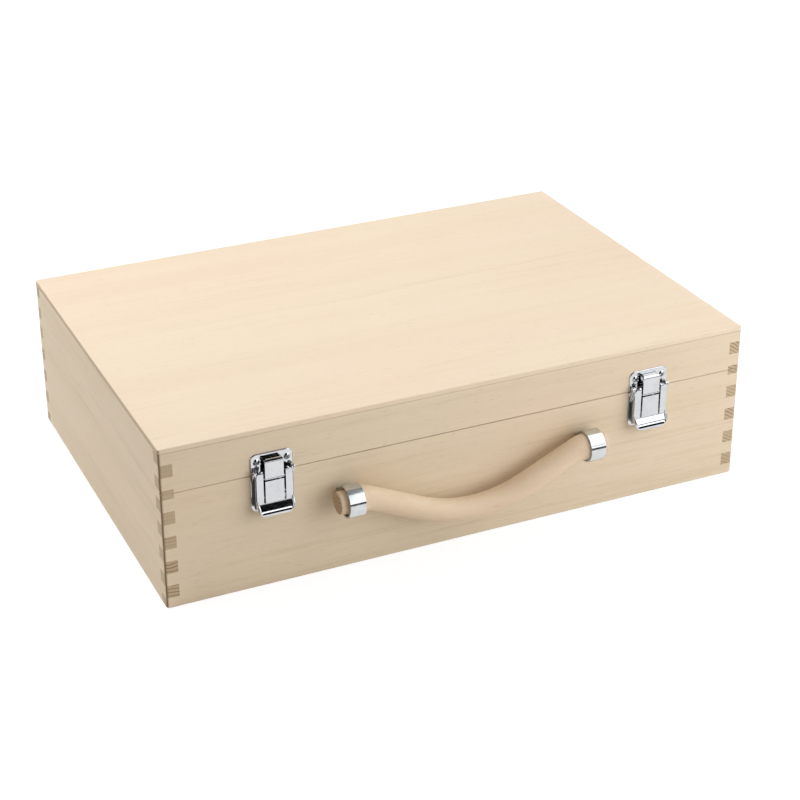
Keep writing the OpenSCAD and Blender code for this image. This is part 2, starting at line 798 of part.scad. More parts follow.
hinge_upper_leaf(hinge_x);  // hinge_right_upper_leaf
hinge_upper_screws();
hinge_pin(-hinge_x);  // hinge_left_pin
hinge_pin(hinge_x);  // hinge_right_pin
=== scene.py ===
import math

import bmesh
import bpy
from mathutils import Matrix, Vector


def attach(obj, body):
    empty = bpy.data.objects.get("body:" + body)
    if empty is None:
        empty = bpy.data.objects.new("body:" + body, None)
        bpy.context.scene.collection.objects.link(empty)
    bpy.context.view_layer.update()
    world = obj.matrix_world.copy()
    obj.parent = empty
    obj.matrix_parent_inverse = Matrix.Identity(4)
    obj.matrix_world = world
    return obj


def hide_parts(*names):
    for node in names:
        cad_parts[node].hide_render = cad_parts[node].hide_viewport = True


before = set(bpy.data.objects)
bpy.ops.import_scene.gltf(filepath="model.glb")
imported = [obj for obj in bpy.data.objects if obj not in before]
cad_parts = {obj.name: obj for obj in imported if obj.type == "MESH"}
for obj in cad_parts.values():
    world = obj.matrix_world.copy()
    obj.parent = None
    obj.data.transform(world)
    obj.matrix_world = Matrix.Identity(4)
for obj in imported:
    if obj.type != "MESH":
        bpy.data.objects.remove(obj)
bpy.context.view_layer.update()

mm = 0.001

# Front and back boards of base and lid. One box was glued up from pale, close-grained
# boards with finger-jointed corners, sanded, and then sawn into base and lid, so the
# grain runs on over the seam. The sawn and lower edges are broken with sandpaper.
case_half, inner_half, corner_radius = (200, 135), (191.5, 126.5), 2
base_rim, seam_z, lid_rim, glue_line_z = 78.4, 78.5, 78.6, 105.8
front_face = -case_half[1]
foot_ease, rim_ease, slack = 1.3, 0.35, 0.01


def add(tree, kind, inputs=None, **settings):
    """Adds a shader node; an input is a plain value or another node's output."""
    made = tree.nodes.new(kind)
    for name, value in settings.items():
        setattr(made, name, value)
    for name, value in (inputs or {}).items():
        if isinstance(value, bpy.types.NodeSocket):
            tree.links.new(value, made.inputs[name])
        else:
            made.inputs[name].default_value = value
    return made


def maths(tree, operation, first, second=0.0, clamp=False):
    made = add(tree, "ShaderNodeMath", {0: first, 1: second}, operation=operation)
    made.use_clamp = clamp
    return made.outputs[0]


def apart(tree, first, second):
    return maths(tree, "ABSOLUTE", maths(tree, "SUBTRACT", first, second))


def between(tree, value, low, high, to_low=0.0, to_high=1.0):
    """Spreads low..high over to_low..to_high, and holds the ends."""
    levels = {0: value, 1: low, 2: high, 3: to_low, 4: to_high}
    return add(tree, "ShaderNodeMapRange", levels).outputs[0]


def noise(tree, place, per_metre, detail=2.0, rough=0.5):
    """Soft noise whose patches are as long as one over per_metre on each axis."""
    scaled = add(tree, "ShaderNodeVectorMath", {0: place, 1: per_metre}, operation="MULTIPLY")
    made = add(tree, "ShaderNodeTexNoise", {"Vector": scaled.outputs[0], "Scale": 1.0,
                                            "Detail": detail, "Roughness": rough})
    return made.outputs[0]


def mixed(tree, share, first, second):
    inputs = {0: share, 6: first, 7: second}
    return add(tree, "ShaderNodeMix", inputs, data_type="RGBA").outputs[2]


def new_group(name, inputs, outputs):
    """Node group with named sockets: v is a vector, c a colour, f a number."""
    kinds = {"v": "NodeSocketVector", "c": "NodeSocketColor", "f": "NodeSocketFloat"}
    group = bpy.data.node_groups.new(name, "ShaderNodeTree")
    for in_out, sockets in (("INPUT", inputs), ("OUTPUT", outputs)):
        for socket, kind in sockets.items():
            group.interface.new_socket(socket, in_out=in_out, socket_type=kinds[kind])
    return group, group.nodes.new("NodeGroupInput"), group.nodes.new("NodeGroupOutput")


def seen_as(red, green, blue):
    """Linear colour of a colour named as it looks, 0 to 255."""
    parts = [((c / 255 + 0.055) / 1.055) ** 2.4 for c in (red, green, blue)]
    return (*parts, 1.0)


# Shared grain: X of Place runs along the fibres, Z up. Long grain has broad growth
# bands, fine streaks and short pores; cut ends are darker, with rings that fade
# out above the height Rings end.
grain, grain_in, grain_out = new_group(
    "pale wood grain",
    {"Place": "v", "Normal": "v", "Face": "c", "Streak": "c", "Blush": "c", "Cut end": "c",
     "Ring": "c", "Ring lean": "f", "Rings end": "f", "Corner": "f", "Glue line": "f",
     "Seam": "f"},
    {"Color": "c", "Roughness": "f", "Height": "f"})
given = grain_in.outputs
place, dark = given["Place"], given["Ring"]
at = add(grain, "ShaderNodeSeparateXYZ", {0: place}).outputs
facing = add(grain, "ShaderNodeSeparateXYZ", {0: given["Normal"]}).outputs

growth = noise(grain, place, (1.6, 40, 52), 2, 0.5)
streak = noise(grain, place, (11, 330, 380), 3, 0.55)
fibre = noise(grain, place, (26, 900, 1000), 3, 0.6)
pore = noise(grain, place, (130, 2300, 2300), 1)
cloud = noise(grain, place, (5, 9, 9), 2)
patchy = noise(grain, place, (3, 26, 26), 1)
long_grain = mixed(grain, between(grain, cloud, 0.35, 0.65, 0, 0.75), given["Face"], given["Blush"])
sparse = maths(grain, "MULTIPLY", between(grain, streak, 0.52, 0.78, 0, 0.75),
               between(grain, patchy, 0.42, 0.62, 0.25, 1))
streaks = maths(grain, "ADD", between(grain, growth, 0.45, 0.7, 0, 0.3), sparse, True)
streaks = maths(grain, "ADD", streaks, between(grain, fibre, 0.45, 0.8, 0, 0.16), True)
long_grain = mixed(grain, streaks, long_grain, given["Streak"])
pores = between(grain, pore, 0.66, 0.76, 0, 0.2)
long_grain = mixed(grain, pores, long_grain, dark)

ring_rate, ring_sway, ring_fade = 2500.0, 9.0, 12 * mm  # a ring every 2.5 mm
sway = maths(grain, "MULTIPLY", noise(grain, place, (0, 110, 60), 2), ring_sway)
lean = maths(grain, "MULTIPLY", at[1], given["Ring lean"])
ring_phase = maths(grain, "ADD", maths(grain, "MULTIPLY", at[2], ring_rate),
                   maths(grain, "ADD", lean, sway))
ring = between(grain, maths(grain, "SINE", ring_phase), 0.5, 0.95)
faint_patch = noise(grain, place, (0, 15, 60), 1)
ring = maths(grain, "MULTIPLY", ring, between(grain, faint_patch, 0.4, 0.6, 0.35, 1))
fading = maths(grain, "SUBTRACT", given["Rings end"], at[2])
ring = maths(grain, "MULTIPLY", ring, between(grain, fading, 0, ring_fade, 0.12, 1))
end_speck = noise(grain, place, (0, 1700, 1700), 2)
cut_end = mixed(grain, ring, given["Cut end"], dark)
cut_end = mixed(grain, between(grain, end_speck, 0.5, 0.75, 0, 0.25), cut_end, dark)

# The rounded corners turn darker, the glue line lies over the grain as a darker line, and the
# seam's gap gets painted shade as a darker line.
along, across, upward = (maths(grain, "ABSOLUTE", facing[k]) for k in (0, 1, 2))
surface = mixed(grain, between(grain, along, 0.72, 0.9), long_grain, cut_end)
# The rounded corners turn darker towards the ring colour, the more the normal lies between the two
# axes.
edge_on = maths(grain, "MULTIPLY", maths(grain, "MULTIPLY", along, across), 2.0)
edge_on = maths(grain, "POWER", edge_on, 5.0)
surface = mixed(grain, maths(grain, "MULTIPLY", edge_on, given["Corner"], True), surface, dark)
glue = between(grain, apart(grain, at[2], given["Glue line"]), 0.1 * mm, 0.4 * mm, 0.6, 0)
upright = maths(grain, "SUBTRACT", 1.0, between(grain, upward, 0.5, 0.9))
surface = mixed(grain, maths(grain, "MULTIPLY", glue, upright), surface, dark)
# Painted shade in the gap of the seam. It is strongest in the middle of the front board and fades
# towards its ends.
seam_shade = between(grain, apart(grain, at[2], given["Seam"]), 0.3 * mm, 0.6 * mm, 0.32, 0)
towards_ends = between(grain, maths(grain, "ABSOLUTE", at[0]), 60 * mm, 170 * mm, 1, 0.3)
surface = mixed(grain, maths(grain, "MULTIPLY", seam_shade, towards_ends), surface, dark)
relief = maths(grain, "SUBTRACT", maths(grain, "MULTIPLY", fibre, 0.6),
               maths(grain, "MULTIPLY", pores, 1.2))
for socket, value in (("Color", surface), ("Height", relief),
                      ("Roughness", between(grain, fibre, 0.3, 0.8, 0.5, 0.62))):
    grain.links.new(value, grain_out.inputs[socket])


def finish_of(name, group, values, placing, strength, distance):
    """Material whose colour, gloss and relief come from a group; placing adds the nodes
    that tell the group where it is. Gives the shader too."""
    made = bpy.data.materials.new(name)
    made.use_nodes = True
    tree = made.node_tree
    shader = tree.nodes["Principled BSDF"]
    look = add(tree, "ShaderNodeGroup", node_tree=group)
    for socket, value in {**values, **placing(tree)}.items():
        if isinstance(value, bpy.types.NodeSocket):
            tree.links.new(value, look.inputs[socket])
        else:
            look.inputs[socket].default_value = value
    bump = add(tree, "ShaderNodeBump", {"Height": look.outputs["Height"], "Strength": strength,
                                        "Distance": distance})
    tree.links.new(look.outputs["Color"], shader.inputs["Base Color"])
    tree.links.new(look.outputs["Roughness"], shader.inputs["Roughness"])
    tree.links.new(bump.outputs[0], shader.inputs["Normal"])
    return made, shader


def wood(name, face, streak, blush, cut, ring_colour, fibres="x", shift=(0, 0, 0), lean=300.0,
         rings_end=1.0, corner=1.0, glue_line=-1.0, seam=-1.0, relief_depth=0.12):
    """Material of sanded wood whose fibres run along the named axis."""
    values = {"Face": face, "Streak": streak, "Blush": blush, "Cut end": cut,
              "Ring": ring_colour, "Ring lean": lean, "Rings end": rings_end,
              "Corner": corner, "Glue line": glue_line + shift[2], "Seam": seam + shift[2]}
    order = {"x": (0, 1, 2), "y": (1, 0, 2)}[fibres]

    def along_fibres(tree):
        where = add(tree, "ShaderNodeTexCoord").outputs
        turned = []
        for source in ("Object", "Normal"):
            axes = add(tree, "ShaderNodeSeparateXYZ", {0: where[source]}).outputs
            joined = add(tree, "ShaderNodeCombineXYZ", {n: axes[k] for n, k in enumerate(order)})
            turned.append(joined.outputs[0])
        moved = add(tree, "ShaderNodeVectorMath", {0: turned[0], 1: shift}, operation="ADD")
        return {"Place": moved.outputs[0], "Normal": turned[1]}

    made, shader = finish_of(name, grain, values, along_fibres, relief_depth, mm)
    shader.inputs["Specular IOR Level"].default_value = 0.3
    return made


def cad_shape(node):
    """Copy of a CAD node's shape, with its loose corners joined and flat seams cleared."""
    shape = bmesh.new()
    shape.from_mesh(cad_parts[node].data)
    bmesh.ops.remove_doubles(shape, verts=shape.verts, dist=0.002 * mm)
    bmesh.ops.dissolve_limit(shape, angle_limit=math.radians(0.3), verts=shape.verts,
                             edges=shape.edges)
    return shape


def everywhere(point):
    return True


def ease(shape, width, chosen=everywhere, steps=2):
    """Rounds the sharp edges that the test picks by their middle, in millimetres."""
    edges = [edge for edge in shape.edges if len(edge.link_faces) == 2
             and edge.calc_face_angle() > math.radians(25)
             and chosen((edge.verts[0].co + edge.verts[1].co) / (2 * mm))]
    bmesh.ops.bevel(shape, geom=edges, offset=width * mm, offset_type="OFFSET", segments=steps,
                    profile=0.5, affect="EDGES", clamp_overlap=True)
    bmesh.ops.dissolve_degenerate(shape, edges=shape.edges, dist=0.001 * mm)


def place_piece(shape, name, body, material, node):
    """Makes a piece of a shape, lets it ride on its body and stand for its CAD node."""
    data = bpy.data.meshes.new(name)
    shape.to_mesh(data)
    shape.free()
    if "custom_normal" in data.attributes:
        data.attributes.remove(data.attributes["custom_normal"])
    data.shade_smooth()
    data.set_sharp_from_angle(angle=math.radians(40))
    piece = bpy.data.objects.new(name, data)
    bpy.context.scene.collection.objects.link(piece)
    piece.data.materials.append(material)
    piece.modifiers.new("flat faces stay flat", "WEIGHTED_NORMAL").keep_sharp = True
    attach(piece, body)
    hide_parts(node)
    return piece


def on_outside(point):
    over_x, over_y = (abs(point[k]) - case_half[k] + corner_radius for k in (0, 1))
    if over_x > 0 and over_y > 0:
        return math.hypot(over_x, over_y) > corner_radius - 0.2
    return max(over_x, over_y) > corner_radius - 0.1


def on_inside(point):
    return max(abs(point[k]) - inner_half[k] for k in (0, 1)) < 0.1


def is_foot(point):
    return point.z < slack and on_outside(point)


def is_rim(point):
    at_seam = min(abs(point.z - base_rim), abs(point.z - lid_rim)) < slack
    return at_seam and (on_outside(point) or on_inside(point))


def sanded_board(node, material):
    shape = cad_shape(node)
    ease(shape, foot_ease, is_foot, 3)
    ease(shape, rim_ease, is_rim)
    place_piece(shape, node + "_sanded", node.split("_")[0], material, node)


ring_brown = seen_as(141, 112, 80)
board_colours = (seen_as(235, 221, 195), seen_as(222, 203, 173), seen_as(236, 215, 190),
                 seen_as(201, 180, 150), ring_brown)
front_wood = wood("front board wood", *board_colours, rings_end=-1.0,
                  glue_line=glue_line_z * mm, seam=seam_z * mm)
back_wood = wood("back board wood", *board_colours, shift=(0.9, 0.3, 0.07))
for name, material in (("front", front_wood), ("back", back_wood)):
    for half in ("base", "lid"):
        sanded_board(f"{half}_{name}_board", material)

# Side boards. Cut from the same stock; their finger ends show on the front as darker
# squares, with rings in the lower fingers of the left board and slanting ones in the right.
left_wood = wood("left board wood", *board_colours, fibres="y", shift=(0.3, 0.11, 0),
                 lean=60.0, rings_end=56 * mm, glue_line=glue_line_z * mm)
right_wood = wood("right board wood", *board_colours, fibres="y", shift=(0.7, 0.35, 0.02),
                  lean=1500.0, rings_end=150 * mm, glue_line=glue_line_z * mm)
for name, material in (("left", left_wood), ("right", right_wood)):
    for half in ("base", "lid"):
        sanded_board(f"{half}_{name}_side", material)

# Bottom panel. Plain plywood with a pale veneer, glued into the rebate round the boards'
# lower edge; its own edges are only just broken.
bottom_wood = wood("bottom panel veneer", seen_as(232, 214, 188), seen_as(210, 186, 154),
                   seen_as(228, 204, 178), seen_as(186, 161, 129), ring_brown,
                   shift=(0.7, 0.2, 0.4))
panel_ease = 0.2
shape = cad_shape("base_bottom_panel")
ease(shape, panel_ease, steps=1)
place_piece(shape, "base_bottom_panel_sanded", "base", bottom_wood,
            "base_bottom_panel")

# Top panel of the lid. A thin veneered sheet glued over the boards' edges and rounded
# off with them, so a fine glue line shows below the top edge.
top_wood = wood("top panel veneer", seen_as(241, 224, 200), seen_as(233, 213, 186),
                seen_as(242, 220, 197), seen_as(206, 184, 156), ring_brown,
                shift=(0.2, 0.5, 0.9), corner=0.5)


def at_glue_line(point):
    return abs(point.z - glue_line_z) < slack and on_outside(point)


veneer_ease = 0.14
shape = cad_shape("lid_top_panel")
ease(shape, veneer_ease, at_glue_line, 1)
place_piece(shape, "lid_top_panel_sanded", "lid", top_wood, "lid_top_panel")

# Hinges. Two nickel-plated steel butt hinges; the lower leaf has two knuckles with lugs
# that stop the lid, the upper leaf one, and a pin runs through all three.
# Shared metal: a plated surface with faint clouding in its gloss and fine brush marks.
plating, plating_in, plating_out = new_group(
    "plated metal", {"Place": "v", "Plate": "c", "Dull": "c", "Gloss": "f", "Brushing": "f"},
    {"Color": "c", "Roughness": "f", "Height": "f"})
given = plating_in.outputs
haze = noise(plating, given["Place"], (160, 160, 160), 3, 0.6)
marks = noise(plating, given["Place"], (150, 5200, 5200), 2, 0.6)
peel = noise(plating, given["Place"], (900, 900, 900), 1)
dulled = between(plating, haze, 0.45, 0.75, 0, 0.8)
hazy = maths(plating, "ADD", given["Gloss"], between(plating, haze, 0.4, 0.8, 0, 0.04))
scuffed = maths(plating, "MULTIPLY", given["Brushing"],
                between(plating, marks, 0.3, 0.8, -0.04, 0.1))
relief = maths(plating, "ADD", maths(plating, "MULTIPLY", given["Brushing"], marks),
               maths(plating, "MULTIPLY", peel, 0.12))
for socket, value in (("Color", mixed(plating, dulled, given["Plate"], given["Dull"])),
                      ("Roughness", maths(plating, "ADD", hazy, scuffed)), ("Height", relief)):
    plating.links.new(value, plating_out.inputs[socket])


def plated(name, plate, dull, gloss, brushing):
    """Material of plated steel. Gloss is its roughness before haze and brush marks."""
    def on_object(tree):
        return {"Place": add(tree, "ShaderNodeTexCoord").outputs["Object"]}

    values = {"Plate": (*plate, 1), "Dull": (*dull, 1), "Gloss": gloss, "Brushing": brushing}
    made, shader = finish_of(name, plating, values, on_object, 0.03, 0.2 * mm)
    shader.inputs["Metallic"].default_value = 1.0
    return made


def metal_shape(node):
    """Copy of a metal node's shape; its many-sided faces are cut up so that they stay flat."""
    shape = cad_shape(node)
    bmesh.ops.triangulate(shape, faces=[face for face in shape.faces if len(face.verts) > 4])
    return shape


def eased_metal(node, body, material, width=0.2, steps=2):
    shape = metal_shape(node)
    ease(shape, width, steps=steps)
    return place_piece(shape, node + "_finished", body, material, node)


nickel = plated("nickel plate", (0.62, 0.60, 0.57), (0.52, 0.50, 0.46), 0.2, 0.5)
pin_steel = plated("hinge pin steel", (0.50, 0.50, 0.50), (0.42, 0.42, 0.41), 0.25, 0.3)
for side in ("left", "right"):
    eased_metal(f"hinge_{side}_lower_leaf", "base", nickel)
    eased_metal(f"hinge_{side}_upper_leaf", "lid", nickel)
    eased_metal(f"hinge_{side}_pin", "base", pin_steel, 0.3, 3)

# Screws. Small plated steel screws hold the hinges, the straps' tabs inside the case and the
# latches, whose screws face the front. The cross recess in each head is painted dark as its shade.
screw_plate = plated("screw plating", (0.60, 0.61, 0.62), (0.48, 0.49, 0.50), 0.14, 0.2)
# Near-black plating painted into the walls and floor of the cross recess as its shade.
painted_recess_shade = plated("screw recess", (0.10, 0.10, 0.10), (0.05, 0.05, 0.05), 0.4, 0.2)
recess_depth, deepest_wall = 0.6, 0.9
for node, body in (("hinge_lower_screws", "base"), ("hinge_upper_screws", "lid"),
                   ("handle_strap_screws", "base"), ("latch_base_screws", "base"),
                   ("latch_catch_screws", "lid")):
    screws = eased_metal(node, body, screw_plate, 0.12)
    screws.data.materials.append(painted_recess_shade)
    outward = -1 if node.startswith("latch") else 1
    head_top = max(vert.co.y * outward for vert in screws.data.vertices)
    for face in screws.data.polygons:
        depth = (head_top - face.center.y * outward) / mm
        is_wall = abs(face.normal.y) < 0.5 and depth < deepest_wall
        is_floor = abs(face.normal.y) > 0.97 and abs(depth - recess_depth) < 0.1
        if is_wall or is_floor:
            face.material_index = 1

# Handle straps. Flat zinc-plated steel bent into an eye round each end of the grip; both
# legs pass through slots in the front board and are screwed down inside as tabs.
zinc = plated("zinc plate", (0.62, 0.65, 0.66), (0.50, 0.53, 0.52), 0.13, 0.35)
for side in ("left", "right"):
    eased_metal(f"handle_{side}_strap", "base", zinc, 0.35, 3)

# Grip. A smooth round bar of steamed, bent beech. Its thicker necks turn in the straps
# and a short stub shows outside each one.
strap_x, strap_w, grip_out, grip_z = 83, 10.5, 11.75, 53.4
bow_r, neck_r, bend = 88, 20, math.radians(24.5)
bar_r, neck_bar_r, journal_r = 7.5, 8.6, 8.8
stub_r, stub_len, stub_edge = 7.3, 4.5, 1.4
bow_steps, neck_steps, edge_steps, sides = 28, 12, 6, 56
neck_x = strap_x - strap_w / 2
end_x = neck_x + strap_w + stub_len
straight = (neck_x - (bow_r + neck_r) * math.sin(bend)) / math.cos(bend)
bow_z = bow_r - (bow_r + neck_r) * (1 - math.cos(bend)) - straight * math.sin(bend)

# Right half of the centre line, as x, z, slope and the bar's radius there; then mirrored.
line = []
for k in range(bow_steps + 1):
    slope = bend * k / bow_steps
    line.append((bow_r * math.sin(slope), bow_z - bow_r * math.cos(slope), slope, bar_r))
for k in range(neck_steps + 1):
    share = k / neck_steps
    slope = bend * (1 - share)
    swell = bar_r + (neck_bar_r - bar_r) * share ** 1.5
    line.append((neck_x - neck_r * math.sin(slope), neck_r * (math.cos(slope) - 1), slope, swell))
for past_neck, radius in ((0.6, neck_bar_r), (1.0, journal_r), (8.6, journal_r), (9.2, stub_r)):
    line.append((neck_x + past_neck, 0, 0, radius))
for k in range(edge_steps + 1):
    turn = math.pi / 2 * k / edge_steps
    line.append((end_x - stub_edge + stub_edge * math.sin(turn), 0, 0,
                 stub_r - stub_edge * (1 - math.cos(turn))))
line = [(-x, z, -slope, radius) for x, z, slope, radius in reversed(line[1:])] + line

shape = bmesh.new()
loops = []
for x, z, slope, radius in line:
    loop = []
    for k in range(sides):
        turn = 2 * math.pi * k / sides
        out, up = radius * math.cos(turn), radius * math.sin(turn)
        loop.append(shape.verts.new(((x - up * math.sin(slope)) * mm,
                                     (front_face - grip_out - out) * mm,
                                     (grip_z + z + up * math.cos(slope)) * mm)))
    loops.append(loop)
for first, second in zip(loops, loops[1:]):
    for k in range(sides):
        shape.faces.new((first[k], first[k - 1], second[k - 1], second[k]))
shape.faces.new(loops[0])
shape.faces.new(reversed(loops[-1]))
bmesh.ops.recalc_face_normals(shape, faces=shape.faces)
grip_wood = wood("grip wood", seen_as(236, 215, 187), seen_as(221, 195, 163),
                 seen_as(238, 213, 189), seen_as(200, 172, 138), ring_brown,
                 shift=(0.4, 0.15, 0.3), corner=0.0, relief_depth=0.06)
place_piece(shape, "handle_grip_bar", "handle", grip_wood, "handle_grip")

# Latches. Draw latches stamped from thin steel and chrome-plated: a base plate with two
# ears on the base, a keeper plate on the lid, and rivets that the lever turns on.
chrome = plated("bright chrome", (0.62, 0.63, 0.65), (0.55, 0.56, 0.59), 0.04, 0.1)
latch_x, plate_t = 130, 0.8
plate_half, plate_foot, plate_head = 12.2, 55.4, 91.4
plate_rim_ease, plate_edge_ease, small_ease = 0.6, 0.25, 0.12


def is_plate_face(point):
    return abs(point.y - front_face + plate_t) < 0.05


def is_plate_rim(point):
    at_side = abs(abs(point.x) - latch_x) > plate_half
    return is_plate_face(point) and (at_side or point.z < plate_foot or point.z > plate_head)


def is_raised(point):
    return point.y < front_face - 1


for side in ("left", "right"):
    eased_metal(f"latch_{side}_rivets", "base", screw_plate, small_ease)
    for part, body in (("base_plate", "base"), ("catch_plate", "lid")):
        node = f"latch_{side}_{part}"
        shape = metal_shape(node)
        ease(shape, plate_rim_ease, is_plate_rim, 4)
        ease(shape, plate_edge_ease, is_plate_face)
        ease(shape, small_ease, is_raised)
        place_piece(shape, node + "_finished", body, chrome, node)

# Levers. Each is one stamping with rounded edges: two rails whose tops curl round the
# rivets, a centre panel, and below it a hollow bend and a rolled lip to pull on.
lever_half, fold_r, sheet_t, front_out = 12.25, 0.85, 0.8, 5.0
panel_half, slot_half, panel_foot, panel_top = 6.0, 7.2, 60.92, 75.3
top_corner_z, top_corner_r = 78.4, 4
low_corner_z, low_corner_r, lowest_cut = 59.1, 6.5, 52.62
curl_out, curl_z, curl_r = 3.1, 80.5, 1.9
hollow_r, lip_r, edge_r, turned_in = 1.6, 10.05, 1.3, 0.6
curl_start, steepest, lip_end, edge_end = (math.radians(a) for a in (70, 45, 8, -100))
tray_top, tray_slope, tray_end = 62.6, 0.72, 0.9
wall_inside, wall_outside, lug_outside = 11.37, 12.23, 8.1
panel_columns = (0, 2, 4, panel_half, slot_half)
rail_shares = (0.4, 0.7, 0.78, 0.84, 0.9, 0.95, 1)
fold_steps, least_rail, fold_ease = 5, 0.3, 0.18


def half_width(z):
    """Half the lever's width at a height; its corners are rounded off above and below."""
    if z > top_corner_z:
        rise = z - top_corner_z
        return lever_half - top_corner_r + math.sqrt(max(top_corner_r ** 2 - rise ** 2, 0))
    fall = max(low_corner_z - max(z, lowest_cut), 0)
    return lever_half - low_corner_r + math.sqrt(low_corner_r ** 2 - fall ** 2)


def bend_on(radius, start, stop, steps):
    """Goes on from the last row round an arc, and gives the arc's centre."""
    out, z = profile[-1][:2]
    centre_out, centre_z = out - radius * math.cos(start), z - radius * math.sin(start)
    for k in range(1, steps + 1):
        a = start + (stop - start) * k / steps
        profile.append((centre_out + radius * math.cos(a), centre_z + radius * math.sin(a), a))
    return centre_out, centre_z


# The lever's profile from the curl down, as distance out, height and tilt.
profile = [(curl_out + curl_r * math.cos(curl_start), curl_z + curl_r * math.sin(curl_start),
            curl_start)]
bend_on(curl_r, curl_start, 0, 7)
profile += [(front_out, z, 0) for z in (79.4, top_corner_z, 77.2, panel_top, 70, 65, tray_top,
                                        62.0, 61.4, panel_foot)]
bend_on(-hollow_r, 0, steepest, 12)
bend_on(lip_r, steepest, lip_end, 19)
edge_out, edge_z = bend_on(edge_r, lip_end, edge_end, 14)
out, z, tilt = profile[-1]
profile += [(out - turned_in, z, tilt), (out - 2 * turned_in, z, tilt)]


def closed_end(x, flat, out, z):
    """How far the sheet rises at both ends of the hollow, so that it is a shallow tray."""
    if z <= edge_z:
        return 0
    ramp = min(front_out + tray_slope * max(tray_top - z, 0), edge_out + edge_r - 0.1)
    share = min(max((x - flat + tray_end) / tray_end, 0), 1)
    return max(ramp - out, 0) * share * share * (3 - 2 * share)


def lever_sheet(middle):
    """The lever's front sheet as one closed skin, in millimetres from its profile."""
    skin = bmesh.new()
    grid = []
    for out, z, tilt in profile:
        flat = half_width(z) - fold_r
        squeeze = min(1, (flat - least_rail) / slot_half)
        rail = slot_half * squeeze
        places = [(x * squeeze, 0) for x in panel_columns]
        places += [(rail + (flat - rail) * share, 0) for share in rail_shares]
        for k in range(1, fold_steps + 1):
            a = math.pi / 2 * k / fold_steps
            places.append((flat + fold_r * math.sin(a), fold_r * (1 - math.cos(a))))
        row = []
        for x, drop in [(-x, drop) for x, drop in reversed(places[1:])] + places:
            rise = closed_end(abs(x), flat, out, z)
            row.append(skin.verts.new(((middle + x) * mm,
                                       (front_face - out - rise + drop * math.cos(tilt)) * mm,
                                       (z - drop * math.sin(tilt)) * mm)))
        grid.append((z, row))
    for (_, first), (lower, second) in zip(grid, grid[1:]):
        for k in range(len(first) - 1):
            x = abs((first[k].co.x + first[k + 1].co.x) / 2 / mm - middle)
            in_groove = panel_half < x < slot_half and lower > panel_foot - 0.1
            in_window = x < panel_half and lower > panel_top - 0.1
            if not (in_groove or in_window):
                skin.faces.new((first[k], first[k + 1], second[k + 1], second[k]))
    loose = [vert for vert in skin.verts if not vert.link_faces]
    bmesh.ops.delete(skin, geom=loose, context="VERTS")
    bmesh.ops.recalc_face_normals(skin, faces=skin.faces)
    if sum(face.normal.y * face.calc_area() for face in skin.faces) > 0:
        bmesh.ops.reverse_faces(skin, faces=skin.faces)
    data = bpy.data.meshes.new("lever sheet")
    skin.to_mesh(data)
    skin.free()
    sheet = bpy.data.objects.new("lever sheet", data)
    bpy.context.scene.collection.objects.link(sheet)
    thick = sheet.modifiers.new("thickness", "SOLIDIFY")
    thick.thickness, thick.offset, thick.use_even_offset = sheet_t * mm, -1, True
    soft = sheet.modifiers.new("soft edges", "BEVEL")
    soft.width, soft.segments, soft.angle_limit = fold_ease * mm, 2, math.radians(50)
    seen = sheet.evaluated_get(bpy.context.evaluated_depsgraph_get())
    made = bpy.data.meshes.new_from_object(seen)
    bpy.data.objects.remove(sheet)
    shape = bmesh.new()
    shape.from_mesh(made)
    bpy.data.meshes.remove(made)
    return shape


def stamped(shape, outline, hole, middle, way, inner, outer):
    """Adds a flat upright plate; its outline and round hole are (out, z) points."""
    left, right = sorted((middle + way * inner, middle + way * outer))
    edges = []
    for loop in (outline, hole):
        verts = [shape.verts.new((left * mm, (front_face - out) * mm, z * mm)) for out, z in loop]
        edges += [shape.edges.new((verts[k - 1], verts[k])) for k in range(len(verts))]
    filled = bmesh.ops.triangle_fill(shape, use_beauty=True, use_dissolve=False, edges=edges)
    faces = [made for made in filled["geom"] if isinstance(made, bmesh.types.BMFace)]
    pushed = bmesh.ops.extrude_face_region(shape, geom=faces, use_keep_orig=True)["geom"]
    verts = [made for made in pushed if isinstance(made, bmesh.types.BMVert)]
    bmesh.ops.translate(shape, verts=verts, vec=((right - left) * mm, 0, 0))


def part_circle(centre, radius, steps, start, turn):
    """Points round part of a circle, from one end of it to the other, in degrees."""
    angles = [math.radians(start + turn * k / (steps - 1)) for k in range(steps)]
    return [(centre[0] + radius * math.cos(a), centre[1] + radius * math.sin(a)) for a in angles]


def circle(centre, radius, steps):
    return part_circle(centre, radius, steps + 1, 0, 360)[:-1]


# Side walls of the lever, with an ear round each rivet, and the lugs that carry the hook's pin.
rivet, ear_r, rivet_hole_r = (curl_out, 81.0), 1.7, 0.75
hook_pin, lug_r, pin_hole_r = (3.85, 76.9), 1.14, 0.65
wall = ([(1.2, 78.0)] + part_circle((3.6, 59.0), 2.4, 8, 180, 90)
        + [(4.3, 57.2), (6.6, 58.6), (6.6, 59.6), (4.3, 62.8), (4.3, 78.4)]
        + part_circle(rivet, ear_r, 18, 35, 180) + [(1.4, 79.2)])
for side, middle in (("left", -latch_x), ("right", latch_x)):
    body = f"latch_{side}_lever"
    shape = lever_sheet(middle)
    for way in (-1, 1):
        stamped(shape, wall, circle(rivet, rivet_hole_r, 20), middle, way,
                wall_inside, wall_outside)
        stamped(shape, circle(hook_pin, lug_r, 28), circle(hook_pin, pin_hole_r, 20),
                middle, way, slot_half, lug_outside)
    bmesh.ops.dissolve_degenerate(shape, edges=shape.edges, dist=0.002 * mm)
    bmesh.ops.recalc_face_normals(shape, faces=shape.faces)
    place_piece(shape, body + "_stamping", body, chrome, body)
    eased_metal(f"latch_{side}_hook_pin", body, screw_plate, 0.1)

